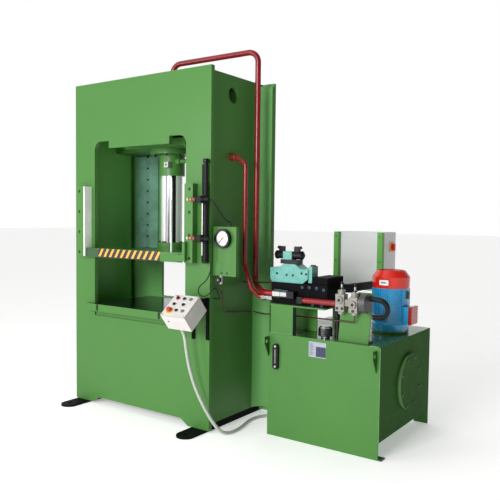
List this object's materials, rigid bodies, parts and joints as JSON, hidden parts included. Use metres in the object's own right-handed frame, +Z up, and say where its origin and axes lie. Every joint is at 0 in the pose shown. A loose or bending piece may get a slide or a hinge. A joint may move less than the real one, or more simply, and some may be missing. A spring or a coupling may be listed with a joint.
{
  "type": "hydraulic press",
  "caption": "H-frame hydraulic press with guided slide, central cylinder, pendant console and a free-standing power pack joined by pipes and conduit.",
  "frame": {"origin": "centre of the four anchor holes in the press's skids, at floor level", "axes": "+Z up; the operator stands at -Y; the power pack stands at +X"},
  "size_m": [2.7802, 1.6875, 2.845],
  "materials": {
    "frame_green": "gloss enamel",
    "bolster_steel": "ground and oiled, green edge",
    "black_paint": "satin black paint",
    "machined_steel": "ground",
    "bronze": "turned",
    "chrome": "hard chrome, polished",
    "switch_body": "moulded, with brass and zinc parts",
    "cable_black": "smooth rubber",
    "gauge_black": "black with white dial",
    "pipe_red": "gloss enamel",
    "pilot_tube": "gloss enamel",
    "zinc_fitting": "zinc plated",
    "console_grey": "textured powder coat",
    "button_red": "moulded",
    "button_black": "moulded",
    "button_green": "moulded",
    "conduit_grey": "ribbed sheath",
    "valve_turquoise": "gloss enamel on cast body",
    "valve_grey": "cast and painted",
    "motor_blue": "gloss enamel",
    "cover_red": "gloss enamel",
    "shaft_steel": "turned",
    "cabinet_grey": "powder coat"
  },
  "bodies": {
    "frame": {"frame_front_plate": "frame_green", "frame_rear_plate": "frame_green", "side_wall_left": "frame_green", "side_wall_right": "frame_green", "crown_top_plate": "frame_green", "crown_seat_plate": "frame_green", "bed_plate": "frame_green", "guide_rails": "frame_green", "cylinder_barrel": "frame_green", "gauge_panel": "frame_green", "tank_body": "frame_green", "manhole_cover": "frame_green", "pack_supports": "frame_green", "bolster_plate": "bolster_steel", "skids": "black_paint", "console_bracket": "black_paint", "manifold_block": "black_paint", "sensor_rail": "black_paint", "guide_liners": "machined_steel", "frame_bolts": "machined_steel", "cylinder_gland": "bronze", "limit_switches": "switch_body", "sensor_cable_upper": "cable_black", "sensor_cable_lower": "cable_black", "motor_hose": "cable_black", "gauge_case": "gauge_black", "pressure_pipes": "pipe_red", "pilot_pipes": "pilot_tube", "pipe_fittings": "zinc_fitting", "pack_fittings": "zinc_fitting", "console_box": "console_grey", "console_lid": "console_grey", "console_conduit": "conduit_grey", "directional_valve": "valve_turquoise", "relief_valves": "valve_grey", "motor_body": "motor_blue", "motor_fan_cover": "cover_red", "pump_unit": "shaft_steel", "cabinet_box": "cabinet_grey"},
    "slide": {"ram": "chrome", "slide_plate": "frame_green", "ram_flange": "frame_green", "ram_flange_bolts": "machined_steel", "stroke_rod": "chrome", "striker_cam": "frame_green"},
    "needle": {"gauge_needle": "gauge_black"},
    "valve_knob": {"gauge_valve_knob": "gauge_black"},
    "estop": {"emergency_stop": "button_red"},
    "selector": {"selector_knob": "button_black"},
    "plunger_lower": {"switch_plunger_lower": "switch_body"},
    "plunger_upper": {"switch_plunger_upper": "switch_body"},
    "isolator": {"isolator_knob": "cover_red"},
    "door": {"cabinet_door": "cabinet_grey"},
    "rotor": {"motor_rotor": "shaft_steel"},
    "button_1": {"push_button_1": "button_black"},
    "button_2": {"push_button_2": "button_green"},
    "button_3": {"push_button_3": "button_black"},
    "button_4": {"push_button_4": "button_black"},
    "button_5": {"push_button_5": "button_black"},
    "button_6": {"push_button_6": "button_green"}
  },
  "joints": [
    {"name": "press_stroke", "type": "slide", "parent": "frame", "child": "slide", "axis": [0, 0, 1], "range_m": [0, 0.45]},
    {"name": "needle_turn", "type": "hinge", "parent": "frame", "child": "needle", "pos_m": [0.818, -0.333, 1.412], "axis": [0, 1, 0], "range_deg": [0, 270]},
    {"name": "gauge_valve_turn", "type": "hinge", "parent": "frame", "child": "valve_knob", "pos_m": [0.782, -0.328, 1.116], "axis": [0, -1, 0], "range_deg": [0, 360]},
    {"name": "emergency_stop_push", "type": "slide", "parent": "frame", "child": "estop", "axis": [0, 0.6252, -0.7804], "range_m": [0, 0.006]},
    {"name": "selector_turn", "type": "hinge", "parent": "frame", "child": "selector", "pos_m": [0.5418, -0.48106, 0.9777], "axis": [0, -0.6252, 0.7804], "range_deg": [-45, 45]},
    {"name": "lower_switch_press", "type": "slide", "parent": "frame", "child": "plunger_lower", "axis": [1, 0, 0], "range_m": [0, 0.006], "stiffness_N_per_m": 300, "springref_m": -0.004},
    {"name": "upper_switch_press", "type": "slide", "parent": "frame", "child": "plunger_upper", "axis": [1, 0, 0], "range_m": [0, 0.006], "stiffness_N_per_m": 300, "springref_m": -0.004},
    {"name": "isolator_turn", "type": "hinge", "parent": "frame", "child": "isolator", "pos_m": [1.533, 0.987, 1.336], "axis": [1, 0, 0], "range_deg": [0, 90]},
    {"name": "cabinet_door_swing", "type": "hinge", "parent": "frame", "child": "door", "pos_m": [1.103, 1.065, 1.2195], "axis": [0, 0, 1], "range_deg": [0, 120]},
    {"name": "motor_spin", "type": "hinge", "parent": "frame", "child": "rotor", "pos_m": [1.74, 0.495, 0.9], "axis": [0, 0, 1], "continuous": true},
    {"name": "button_1_push", "type": "slide", "parent": "frame", "child": "button_1", "axis": [0, 0.6252, -0.7804], "range_m": [0, 0.0035], "stiffness_N_per_m": 400, "springref_m": -0.004},
    {"name": "button_2_push", "type": "slide", "parent": "frame", "child": "button_2", "axis": [0, 0.6252, -0.7804], "range_m": [0, 0.0035], "stiffness_N_per_m": 400, "springref_m": -0.004},
    {"name": "button_3_push", "type": "slide", "parent": "frame", "child": "button_3", "axis": [0, 0.6252, -0.7804], "range_m": [0, 0.0035], "stiffness_N_per_m": 400, "springref_m": -0.004},
    {"name": "button_4_push", "type": "slide", "parent": "frame", "child": "button_4", "axis": [0, 0.6252, -0.7804], "range_m": [0, 0.0035], "stiffness_N_per_m": 400, "springref_m": -0.004},
    {"name": "button_5_push", "type": "slide", "parent": "frame", "child": "button_5", "axis": [0, 0.6252, -0.7804], "range_m": [0, 0.0035], "stiffness_N_per_m": 400, "springref_m": -0.004},
    {"name": "button_6_push", "type": "slide", "parent": "frame", "child": "button_6", "axis": [0, 0.6252, -0.7804], "range_m": [0, 0.0035], "stiffness_N_per_m": 400, "springref_m": -0.004}
  ]
}
